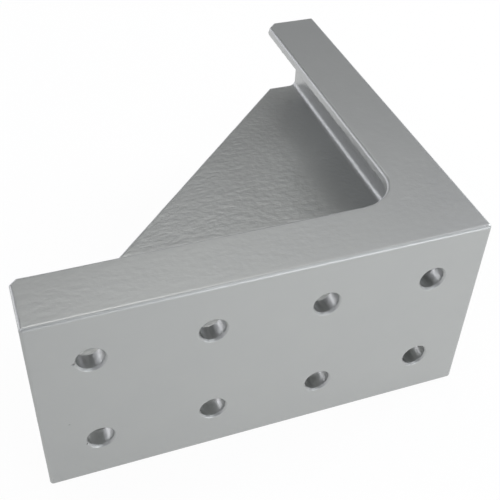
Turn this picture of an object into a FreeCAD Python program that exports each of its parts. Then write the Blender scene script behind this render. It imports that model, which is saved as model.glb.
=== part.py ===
import FreeCAD, Part
import math
import os
from FreeCAD import Vector

# Cast steel angle bracket for T-slot profile framing, in millimetres.
# Two legs stand at a right angle. Each is a flat bolting wall with a rim along both of
# its long edges, and one triangular web joins the two legs at half their height.
# The whole bracket is one casting with rounded edges.
#
# +Z is up and the bracket stands on its lower rims. The origin is at the middle of the
# bottom of its box. Leg A runs along X with its bolting face towards -Y, and leg B runs
# along Y with its bolting face towards +X, so they meet at the corner (+X, -Y).

# Bolt pattern, the same on both legs
bolt_pitch = 40.0
bolts_along_leg = 4
bolt_rows = 2
bolt_edge_inset = 19.5
bolt_hole_diameter = 9.0
mouth_chamfer = 0.7
inner_mouth_chamfer = 0.4

# Wall, rims and web
wall_thickness = 6.9
rim_reach = 23.2
rim_thickness = 4.0
web_thickness = 10.0
tip_chamfer = 3.6

# Roundings of the casting
rim_corner_radius = 15.0
wall_corner_radius = 3.5
web_root_radius = 2.4
rim_root_radius = 3.0
edge_radius = 1.25

# Sizes that follow from the ones above
leg_length = bolt_pitch * (bolts_along_leg - 1) + 2 * bolt_edge_inset
height = bolt_pitch * (bolt_rows - 1) + 2 * bolt_edge_inset
half_leg = leg_length / 2
web_end_width = rim_reach - tip_chamfer
web_bottom = (height - web_thickness) / 2
web_top = (height + web_thickness) / 2
rim_undersides = (rim_thickness, height - rim_thickness)

# Share of a wall or of a neighbouring radius that a rounding may take up
rounding_share = 0.9
# How near two places must be to count as one
nearness = 1e-4
# The surface turns by more than this angle, in radians, at a sharp edge
sharp_turn = 0.1
# How far beside an edge the solid is felt for
feeler_reach = 0.05
# How far the rods that open the holes stand out of the wall
rod_overrun = 2.0


def spot(from_b, from_a, z):
    """The place at a distance from leg B's bolting face, from leg A's, and from the floor."""
    return Vector(half_leg - from_b, from_a - half_leg, z)


def distances(point):
    """The distances of a point from leg B's bolting face and from leg A's."""
    return half_leg - point.x, point.y + half_leg


def slab(corners, bottom, thickness):
    """A flat plate, from corners given as (from leg B, from leg A, corner radius)."""
    points = [spot(from_b, from_a, bottom) for from_b, from_a, radius in corners]
    stretches = []
    for i, point in enumerate(points):
        radius = corners[i][2]
        if radius == 0:
            stretches.append((point, None, point))
            continue
        back = (points[i - 1] - point).normalize()
        ahead = (points[(i + 1) % len(points)] - point).normalize()
        half_angle = back.getAngle(ahead) / 2
        tangent_length = radius / math.tan(half_angle)
        centre_way = (back + ahead).normalize()
        arc_middle = point + centre_way * (radius / math.sin(half_angle) - radius)
        stretches.append((point + back * tangent_length, arc_middle, point + ahead * tangent_length))

    edges = []
    for i, (start, arc_middle, end) in enumerate(stretches):
        if arc_middle is not None:
            edges.append(Part.Arc(start, arc_middle, end).toShape())
        next_start = stretches[(i + 1) % len(stretches)][0]
        edges.append(Part.LineSegment(end, next_start).toShape())
    return Part.Face(Part.Wire(edges)).extrude(Vector(0, 0, thickness))


def walls():
    """The two bolting walls, with the rounded inner corner between them."""
    corners = [
        (0, 0, 0),
        (leg_length, 0, 0),
        (leg_length, wall_thickness, 0),
        (wall_thickness, wall_thickness, wall_corner_radius),
        (wall_thickness, leg_length, 0),
        (0, leg_length, 0),
    ]
    return slab(corners, 0, height)


def rim(bottom):
    """The rim on one side of both legs, with its wide inner corner and chamfered tips."""
    chamfer_start = leg_length - tip_chamfer
    corners = [
        (0, 0, 0),
        (leg_length, 0, 0),
        (leg_length, web_end_width, 0),
        (chamfer_start, rim_reach, 0),
        (rim_reach, rim_reach, rim_corner_radius),
        (rim_reach, chamfer_start, 0),
        (web_end_width, leg_length, 0),
        (0, leg_length, 0),
    ]
    return slab(corners, bottom, rim_thickness)


def web():
    """The triangular web, whose long edge runs on from the chamfers of the rims."""
    corners = [
        (0, 0, 0),
        (leg_length, 0, 0),
        (leg_length, web_end_width, 0),
        (web_end_width, leg_length, 0),
        (0, leg_length, 0),
    ]
    return slab(corners, web_bottom, web_thickness)


def middle(edge):
    """The point half-way along an edge."""
    return edge.valueAt((edge.FirstParameter + edge.LastParameter) / 2)


def bend(shape, edge):
    """How the surface turns at an edge: "ridge", "groove" or "smooth"."""
    point = middle(edge)
    normals = []
    for face in shape.ancestorsOfType(edge, Part.Face):
        normals.append(face.normalAt(*face.Surface.parameter(point)))
    if len(normals) < 2 or normals[0].getAngle(normals[1]) < sharp_turn:
        return "smooth"
    # Just over the first face and behind the second lies solid only in a groove
    beside = point + (normals[0] - normals[1]) * feeler_reach
    return "groove" if shape.isInside(beside, nearness, True) else "ridge"


def edges_at(shape, kind, levels):
    """The edges of one kind that lie level at one of the given heights."""
    found = []
    for edge in shape.Edges:
        heights = [vertex.Point.z for vertex in edge.Vertexes]
        for level in levels:
            if all(abs(z - level) < nearness for z in heights) and bend(shape, edge) == kind:
                found.append(edge)
    return found


def round_roots(shape):
    """Fillets where the web and the rims spring from the walls."""
    widest = rounding_share * wall_corner_radius
    web_roots = edges_at(shape, "groove", (web_bottom, web_top))
    shape = shape.makeFillet(min(web_root_radius, widest), web_roots)
    rim_roots = edges_at(shape, "groove", rim_undersides)
    return shape.makeFillet(min(rim_root_radius, widest), rim_roots)


def round_edges(shape):
    """The small rounding on every outer edge."""
    sharp = [edge for edge in shape.Edges if bend(shape, edge) == "ridge"]
    return shape.makeFillet(edge_rounding, sharp)


def bolt_holes():
    """The clearance holes of both legs, as one group of rods through the walls."""
    radius = bolt_hole_diameter / 2
    length = wall_thickness + 2 * rod_overrun
    rods = []
    for row in range(bolt_rows):
        z = bolt_edge_inset + row * bolt_pitch
        for place in range(bolts_along_leg):
            along = bolt_edge_inset + place * bolt_pitch
            start_a = spot(along, -rod_overrun, z)
            start_b = spot(-rod_overrun, along, z)
            rods.append(Part.makeCylinder(radius, length, start_a, Vector(0, 1, 0)))
            rods.append(Part.makeCylinder(radius, length, start_b, Vector(-1, 0, 0)))
    return Part.makeCompound(rods)


def chamfer_mouths(shape, depth, size):
    """A chamfer on every hole where it leaves the wall, at a depth from the bolting face."""
    mouths = []
    for edge in shape.Edges:
        is_ring = edge.isClosed() and not edge.Degenerated
        if is_ring and abs(min(distances(edge.CenterOfMass)) - depth) < nearness:
            mouths.append(edge)
    return shape.makeChamfer(size, mouths)


# A rim has to hold the roundings of both its edges
edge_rounding = min(edge_radius, rounding_share * rim_thickness / 2)

upper_rim = rim(height - rim_thickness)
lower_rim = rim(0)
casting = walls().fuse([upper_rim, lower_rim, web()]).removeSplitter()
casting = round_roots(casting)
casting = round_edges(casting)
casting = casting.cut(bolt_holes())
casting = chamfer_mouths(casting, 0, mouth_chamfer)
casting = chamfer_mouths(casting, wall_thickness, inner_mouth_chamfer)

angle_bracket = casting.Solids[0]
print("angle_bracket valid", angle_bracket.isValid(), "solids", len(casting.Solids))
print("volume", round(angle_bracket.Volume), "box", angle_bracket.BoundBox)

os.makedirs("parts", exist_ok=True)
angle_bracket.exportStep("parts/angle_bracket.step")
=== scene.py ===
import math

import bmesh
import bpy
from mathutils import Matrix, Vector, noise


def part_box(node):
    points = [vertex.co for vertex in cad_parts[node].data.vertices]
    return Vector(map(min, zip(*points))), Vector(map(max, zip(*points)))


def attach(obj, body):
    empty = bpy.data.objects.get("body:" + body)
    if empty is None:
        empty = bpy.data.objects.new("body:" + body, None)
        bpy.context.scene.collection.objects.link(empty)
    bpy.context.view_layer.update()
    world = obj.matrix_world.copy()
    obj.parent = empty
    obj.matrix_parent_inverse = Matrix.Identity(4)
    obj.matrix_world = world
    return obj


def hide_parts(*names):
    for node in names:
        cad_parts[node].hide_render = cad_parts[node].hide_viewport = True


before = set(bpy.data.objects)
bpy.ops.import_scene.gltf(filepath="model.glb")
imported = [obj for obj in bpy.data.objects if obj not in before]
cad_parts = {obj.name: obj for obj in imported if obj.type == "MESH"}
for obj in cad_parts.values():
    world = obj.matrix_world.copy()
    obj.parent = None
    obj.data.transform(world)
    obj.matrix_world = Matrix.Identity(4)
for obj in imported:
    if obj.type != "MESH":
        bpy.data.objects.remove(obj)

bpy.context.view_layer.update()


# The bracket: one steel casting with ground bolting faces, under a silver-grey powder coat.
# The sand left its skin uneven on the web, the rims and inside the channels, the rims' inner
# edges keep their draft and a ragged burr, and the coat softens the mouths of the drilled holes.
node_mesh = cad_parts["angle_bracket"].data
low, high = (Vector(corner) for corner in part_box("angle_bracket"))
mm = 0.001

# The rims as the solid has them
rim_reach = 23.2 * mm
rim_thickness = 4.0 * mm
rim_corner_radius = 15.0 * mm
edge_radius = 1.25 * mm
tip_chamfer = 3.6 * mm

# How the solid's mesh is cleaned, softened and divided
weld_distance = 0.002 * mm
flat_turn = math.radians(0.05)
sharp_turn = math.radians(30)
mouth_softening = 0.12 * mm
mouth_segments = 2
round_profile = 0.5
cell = 1.6 * mm
sliver = 0.05 * mm

# The cast skin: broad swells and sand grain, which fade out towards the ground faces
swell_grain = 9.0 * mm
swell_depth = 0.12 * mm
sand_grain = 4.0 * mm
sand_depth = 0.05 * mm
ground_band = 2.0 * mm
rim_band = 2.0 * mm
rim_share = 0.35

# The rims' inner edges: draft on the outside, a burr underneath, and less ground off at the tip
lip_draft = 0.4 * mm
lip_band = 7.0 * mm
burr_grain = 2.5 * mm
burr_share = 0.7
burr_spread = 0.25
tip_grown = 1.3 * mm
tip_band = 12.0 * mm

# Chips at two hole mouths and two pinholes in leg A's bolting face, in millimetres: how far
# along the leg, how high, and the radius
chips = [(Vector((along * mm, low.y, z * mm)), radius * mm) for along, z, radius in (
    (-65.3, 59.2, 0.6), (-64.9, 17.9, 0.6), (-67.2, 69.8, 0.4), (-69.7, 30.7, 0.4))]
chip_depth = 0.4 * mm
chip_cuts = 6


def ramp(value, start, end):
    """How far a value has come from start to end, eased, from 0 to 1."""
    share = min(max((value - start) / (end - start), 0), 1)
    return share * share * (3 - 2 * share)


def grain(point, size):
    """Smooth noise with grains of one size, from 0 to 1."""
    return max((noise.noise(point / size) + 1) / 2, 0)


def cast_share(point):
    """How rough the casting is at a point: 0 on the ground faces, 1 on the web and the walls."""
    from_ground = min(high.x - point.x, point.y - low.y)
    from_rim_faces = min(point.z - low.z, high.z - point.z)
    rim_to_web = rim_share + (1 - rim_share) * ramp(from_rim_faces, 0, rim_band)
    return ramp(from_ground, 0, ground_band) * rim_to_web


def skin_depth(point):
    """How deep the cast skin lies at a point, below the pattern's own surface."""
    relief = swell_depth * grain(point, swell_grain) + sand_depth * grain(point, sand_grain)
    return cast_share(point) * relief


def lip_move(point):
    """How the rims' inner edges differ from the pattern: draft outside, a burr underneath."""
    from_b, from_a = high.x - point.x, point.y - low.y
    from_face = min(point.z - low.z, high.z - point.z)
    arc_centre = rim_reach + rim_corner_radius
    to_walls = Vector((max(arc_centre - from_b, 0), -max(arc_centre - from_a, 0), 0))
    inside = to_walls.length - rim_corner_radius
    if from_face > rim_thickness + weld_distance or inside > lip_band:
        return Vector((0, 0, 0))
    closeness = 1 - ramp(inside, edge_radius, lip_band)
    draft = lip_draft * (1 - min(from_face / rim_thickness, 1))
    burr = 0
    if from_face > rim_thickness / 2:
        ragged = burr_share + burr_spread * noise.noise(point / burr_grain)
        burr = min(max(inside, 0), edge_radius) * ragged
    return to_walls.normalized() * closeness * (draft - burr)


def tip_move(point):
    """How far a point moves out because leg A's rims are ground off less at the tip."""
    from_tip, from_lip = point.x - low.x, rim_reach - (point.y - low.y)
    from_face = min(point.z - low.z, high.z - point.z)
    reach = from_tip + from_lip
    if from_face > rim_thickness + weld_distance or from_lip < -weld_distance or reach > tip_band:
        return Vector((0, 0, 0))
    share = tip_grown * (1 - ramp(reach, tip_chamfer, tip_band)) / reach
    return Vector((-max(from_tip, 0), max(from_lip, 0), 0)) * share


def chip_share(point):
    """How far leg A's bolting face is chipped at a point, from 0 to 1 at the middle of a chip."""
    return max(1 - ramp((point - chip).length, 0, radius) for chip, radius in chips)


def is_near_chip(edge):
    """Whether an edge lies within a cell's width of a chip."""
    middle = (edge.verts[0].co + edge.verts[1].co) / 2
    return any((middle - chip).length < cell for chip, radius in chips)


def cut_into_cells(shape):
    """Cuts all faces along a grid of planes, so that the skin's relief has points to move."""
    for axis in range(3):
        normal = Vector((0, 0, 0))
        normal[axis] = 1
        count = int((high[axis] - low[axis]) / cell)
        for i in range(1, count):
            place = low + normal * (high[axis] - low[axis]) * i / count
            parts = shape.verts[:] + shape.edges[:] + shape.faces[:]
            bmesh.ops.bisect_plane(
                shape, geom=parts, plane_co=place, plane_no=normal, dist=weld_distance)


def pattern_shape():
    """The solid's surface with soft hole mouths, divided finely enough for the cast skin."""
    shape = bmesh.new()
    shape.from_mesh(node_mesh)
    bmesh.ops.remove_doubles(shape, verts=shape.verts, dist=weld_distance)
    bmesh.ops.dissolve_limit(
        shape, angle_limit=flat_turn, verts=shape.verts, edges=shape.edges)
    mouths = [edge for edge in shape.edges if edge.calc_face_angle(0) > sharp_turn]
    bmesh.ops.bevel(
        shape, geom=mouths, offset=mouth_softening, segments=mouth_segments,
        profile=round_profile, affect="EDGES")
    cut_into_cells(shape)
    bmesh.ops.remove_doubles(shape, verts=shape.verts, dist=sliver)
    near_chips = [edge for edge in shape.edges if is_near_chip(edge)]
    bmesh.ops.subdivide_edges(shape, edges=near_chips, cuts=chip_cuts, use_grid_fill=True)
    bmesh.ops.triangulate(shape, faces=shape.faces)
    shape.normal_update()
    return shape


def cast_mesh():
    """The casting's surface: the pattern with the sand's skin, its rims' edges and the chips."""
    shape = pattern_shape()
    rough = shape.verts.layers.float.new("cast_share")
    chipped = shape.verts.layers.float.new("chip_share")
    moves = []
    for vert in shape.verts:
        vert[rough] = cast_share(vert.co)
        vert[chipped] = chip_share(vert.co)
        skin = vert.normal * skin_depth(vert.co)
        chip = Vector((0, chip_depth * vert[chipped], 0))
        moves.append(lip_move(vert.co) + tip_move(vert.co) + chip - skin)
    for vert, move in zip(shape.verts, moves):
        vert.co += move
    mesh = bpy.data.meshes.new("angle_bracket_casting")
    shape.to_mesh(mesh)
    shape.free()
    mesh.shade_smooth()
    return mesh


casting = bpy.data.objects.new("angle_bracket_casting", cast_mesh())
bpy.context.scene.collection.objects.link(casting)
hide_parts("angle_bracket")
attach(casting, "root")
casting.modifiers.new("even_normals", "WEIGHTED_NORMAL")

# The coat's greys, and the dark grey painted into the chips and pinholes as painted shade for
# their hollows
coat_colour = "#B1B3B1"
coat_shade = "#ADAFAE"
pit_painted_shade = "#35332F"
coat_metallic = 0.85
coat_roughness = 0.45
clear_share = 0.5
clear_roughness = 0.2

# The faint clouding of the coat, the cast ripple that it runs over, and its own orange peel
cloud_grain = 14.0 * mm
ripple_grain = (3.1 * mm, 2.2 * mm, 2.2 * mm)
ripple_relief = 0.24 * mm
peel_grain = 0.8 * mm
peel_relief = 0.006 * mm

# The Mix node's sockets for colours, which have the same names as those for numbers
mix_first, mix_second, mix_result = 6, 7, 2


def linear(hex_colour):
    """An sRGB hex colour as the linear colour that a shader takes."""
    channels = [int(hex_colour[i:i + 2], 16) / 255 for i in (1, 3, 5)]
    return [c / 12.92 if c <= 0.04045 else ((c + 0.055) / 1.055) ** 2.4 for c in channels] + [1]


def add_node(tree, kind, links=None, **settings):
    """Adds a shader node, sets its options and inputs, and links the outputs given for inputs."""
    node = tree.nodes.new(kind)
    for name, value in settings.items():
        setattr(node, name, value)
    for name, value in (links or {}).items():
        if isinstance(value, bpy.types.NodeSocket):
            tree.links.new(value, node.inputs[name])
        else:
            node.inputs[name].default_value = value
    return node


def silver_powder_coat():
    """Silver powder coat on cast steel: a soft metallic sheen from fine aluminium flake."""
    material = bpy.data.materials.new("silver_powder_coat_on_cast_steel")
    material.use_nodes = True
    tree = material.node_tree
    tree.nodes.clear()
    place = add_node(tree, "ShaderNodeTexCoord")
    rough = add_node(tree, "ShaderNodeAttribute", attribute_name="cast_share")
    chipped = add_node(tree, "ShaderNodeAttribute", attribute_name="chip_share")
    cloud = add_node(tree, "ShaderNodeTexNoise", {
        "Vector": place.outputs["Object"], "Scale": 1 / cloud_grain,
        "Detail": 3.0, "Roughness": 0.6})
    clouded = add_node(tree, "ShaderNodeMix", {
        "Factor": cloud.outputs["Fac"],
        mix_first: linear(coat_colour), mix_second: linear(coat_shade)}, data_type="RGBA")
    # The chips and pinholes are painted dark: a painted shade for the inside of the pits, which
    # their shallow hollows don't darken enough
    colour = add_node(tree, "ShaderNodeMix", {
        "Factor": chipped.outputs["Fac"],
        mix_first: clouded.outputs[mix_result], mix_second: linear(pit_painted_shade)}, data_type="RGBA")
    stretched = add_node(tree, "ShaderNodeMapping", {
        "Vector": place.outputs["Object"], "Scale": [1 / size for size in ripple_grain]})
    ripple = add_node(tree, "ShaderNodeTexNoise", {
        "Vector": stretched.outputs["Vector"], "Scale": 1.0, "Detail": 2.0, "Roughness": 0.5})
    cast_height = add_node(tree, "ShaderNodeMath", {
        0: ripple.outputs["Fac"], 1: rough.outputs["Fac"]}, operation="MULTIPLY")
    cast_bump = add_node(tree, "ShaderNodeBump", {
        "Height": cast_height.outputs[0], "Distance": ripple_relief, "Strength": 1.0})
    peel = add_node(tree, "ShaderNodeTexNoise", {
        "Vector": place.outputs["Object"], "Scale": 1 / peel_grain,
        "Detail": 1.0, "Roughness": 0.5})
    peel_bump = add_node(tree, "ShaderNodeBump", {
        "Height": peel.outputs["Fac"], "Distance": peel_relief, "Strength": 1.0,
        "Normal": cast_bump.outputs["Normal"]})
    coat = add_node(tree, "ShaderNodeBsdfPrincipled", {
        "Base Color": colour.outputs[mix_result],
        "Metallic": coat_metallic, "Roughness": coat_roughness,
        "Coat Weight": clear_share, "Coat Roughness": clear_roughness,
        "Normal": peel_bump.outputs["Normal"]})
    add_node(tree, "ShaderNodeOutputMaterial", {"Surface": coat.outputs["BSDF"]})
    return material


casting.data.materials.append(silver_powder_coat())


# The floor: a plain matt white paper sheet that the bracket stands on, wide enough to fill the
# view. Its left part shows dimmer in the coat: a painted shade in the paper's glow, where a
# studio's light falls off.
floor_half = 3.0
floor_colour = "#F4F4F4"
direct_glow = 0.95
mirrored_glow = 0.8
glow_painted_shade_level = 0.64
dim_from, lit_from = -0.24, 0.06
floor_mesh = bpy.data.meshes.new("floor")
floor_mesh.from_pydata(
    [(-floor_half, -floor_half, 0), (floor_half, -floor_half, 0),
     (floor_half, floor_half, 0), (-floor_half, floor_half, 0)], [], [(0, 1, 2, 3)])
floor = bpy.data.objects.new("floor", floor_mesh)
bpy.context.scene.collection.objects.link(floor)


def matt_white_paper():
    """Matt white paper, with a glow for the camera and in reflections so that it stays white."""
    material = bpy.data.materials.new("matt_white_paper")
    material.use_nodes = True
    tree = material.node_tree
    tree.nodes.clear()
    ray = add_node(tree, "ShaderNodeLightPath")
    mirrored = add_node(tree, "ShaderNodeMath", {
        0: ray.outputs["Is Glossy Ray"], 1: ray.outputs["Is Transmission Ray"]},
        operation="MAXIMUM")
    mirrored_share = add_node(tree, "ShaderNodeMath", {
        0: mirrored.outputs[0], 1: mirrored_glow}, operation="MULTIPLY")
    direct_share = add_node(tree, "ShaderNodeMath", {
        0: ray.outputs["Is Camera Ray"], 1: direct_glow}, operation="MULTIPLY")
    glow_share = add_node(tree, "ShaderNodeMath", {
        0: direct_share.outputs[0], 1: mirrored_share.outputs[0]}, operation="MAXIMUM")
    # Painted shade: reflections show the left of the sheet's glow dimmer, and the camera sees all
    # of it alike
    place = add_node(tree, "ShaderNodeTexCoord")
    across = add_node(tree, "ShaderNodeSeparateXYZ", {0: place.outputs["Object"]})
    painted_falloff = add_node(tree, "ShaderNodeMapRange", {
        "Value": across.outputs["X"], "From Min": dim_from, "From Max": lit_from,
        "To Min": glow_painted_shade_level, "To Max": 1.0}, interpolation_type="SMOOTHSTEP")
    level = add_node(tree, "ShaderNodeMath", {
        0: painted_falloff.outputs[0], 1: ray.outputs["Is Camera Ray"]}, operation="MAXIMUM")
    sheet = add_node(tree, "ShaderNodeBsdfDiffuse", {"Color": linear(floor_colour)})
    glow = add_node(tree, "ShaderNodeEmission", {
        "Color": (1, 1, 1, 1), "Strength": level.outputs[0]})
    paper = add_node(tree, "ShaderNodeMixShader", {
        0: glow_share.outputs[0], 1: sheet.outputs["BSDF"], 2: glow.outputs["Emission"]})
    add_node(tree, "ShaderNodeOutputMaterial", {"Surface": paper.outputs[0]})
    return material


floor_mesh.materials.append(matt_white_paper())


# The room: a photo studio with pale walls up to a low height and darkness above them. Square
# softboxes stand round the bracket, and their strengths follow the shading in the photo.
wall_glow = 1.15
wall_top, wall_fade = 0.15, 0.35
room_tint = "#F9F8FF"
world = bpy.data.worlds.new("studio")
bpy.context.scene.world = world
world.use_nodes = True
room_tree = world.node_tree
room_tree.nodes.clear()
direction = add_node(room_tree, "ShaderNodeTexCoord")
steepness = add_node(room_tree, "ShaderNodeSeparateXYZ", {0: direction.outputs["Generated"]})
walls = add_node(room_tree, "ShaderNodeMapRange", {
    "Value": steepness.outputs["Z"], "From Min": wall_fade, "From Max": wall_top,
    "To Max": wall_glow})
# The camera sees the dark part of the room white too
room_ray = add_node(room_tree, "ShaderNodeLightPath")
room_level = add_node(room_tree, "ShaderNodeMath", {
    0: walls.outputs[0], 1: room_ray.outputs["Is Camera Ray"]}, operation="MAXIMUM")
room = add_node(room_tree, "ShaderNodeBackground", {
    "Color": linear(room_tint), "Strength": room_level.outputs[0]})
add_node(room_tree, "ShaderNodeOutputWorld", {"Surface": room.outputs["Background"]})

softbox_side = 0.6
softbox_distance = 1.2
lit_point = Vector((0, 0, 0.04))


def softbox(bearing, elevation, watts, tint):
    """A softbox that faces the bracket. Bearing 0 is in front of leg A, and 90 beside leg B."""
    way = Matrix.Rotation(math.radians(bearing), 3, "Z") @ Matrix.Rotation(
        math.radians(-elevation), 3, "X") @ Vector((0, -1, 0))
    name = f"softbox_{bearing:g}_{elevation:g}"
    lamp = bpy.data.lights.new(name, "AREA")
    lamp.shape = "SQUARE"
    lamp.size = softbox_side
    lamp.energy = watts
    lamp.color = linear(tint)[:3]
    box = bpy.data.objects.new(name, lamp)
    box.location = lit_point + way * softbox_distance
    box.rotation_euler = (-way).to_track_quat("-Z", "Y").to_euler()
    bpy.context.scene.collection.objects.link(box)


# Low: one in front of leg A's bolting face, two behind it for the inner sides of the walls
softbox(22.5, 8, 3.5, "#F8FBFF")
softbox(202.5, 8, 1.1, "#F8F8FF")
softbox(247.5, 8, 3.2, "#FBFAFF")
# Half-way up: one beside leg B's bolting face, one across from the web's long edge
softbox(90, 30, 8.2, "#F9FAFF")
softbox(234, 30, 1.2, "#F8F8FF")
# High, and nearly overhead, for the upper rim and the top of the web
softbox(22.5, 50, 2.4, "#FAFCFF")
softbox(112.5, 50, 1.2, "#FAF9FF")
softbox(157.5, 50, 0.7, "#FEFFFE")
softbox(292.5, 50, 4.0, "#F8F9FF")
softbox(180, 74, 3.7, "#FFFEFD")


# The camera stands in front of leg A, a little to its left, and looks down at the bracket. Its
# place and turn are those of the photo.
camera_place = Vector((-0.07924, -0.25943, 0.2629))
camera_right = Vector((0.94104, -0.33664, 0.03363))
camera_up = Vector((0.19999, 0.63369, 0.74728))
camera_data = bpy.data.cameras.new("camera")
camera_data.sensor_width = 36
camera_data.lens = 61.68
camera_data.clip_start = 0.01
camera = bpy.data.objects.new("camera", camera_data)
turn = Matrix((camera_right, camera_up, camera_right.cross(camera_up))).transposed()
camera.matrix_world = Matrix.LocRotScale(camera_place, turn.to_quaternion(), None)
bpy.context.scene.collection.objects.link(camera)
bpy.context.scene.camera = camera
bpy.context.scene.view_settings.view_transform = "Standard"

bpy.context.view_layer.update()
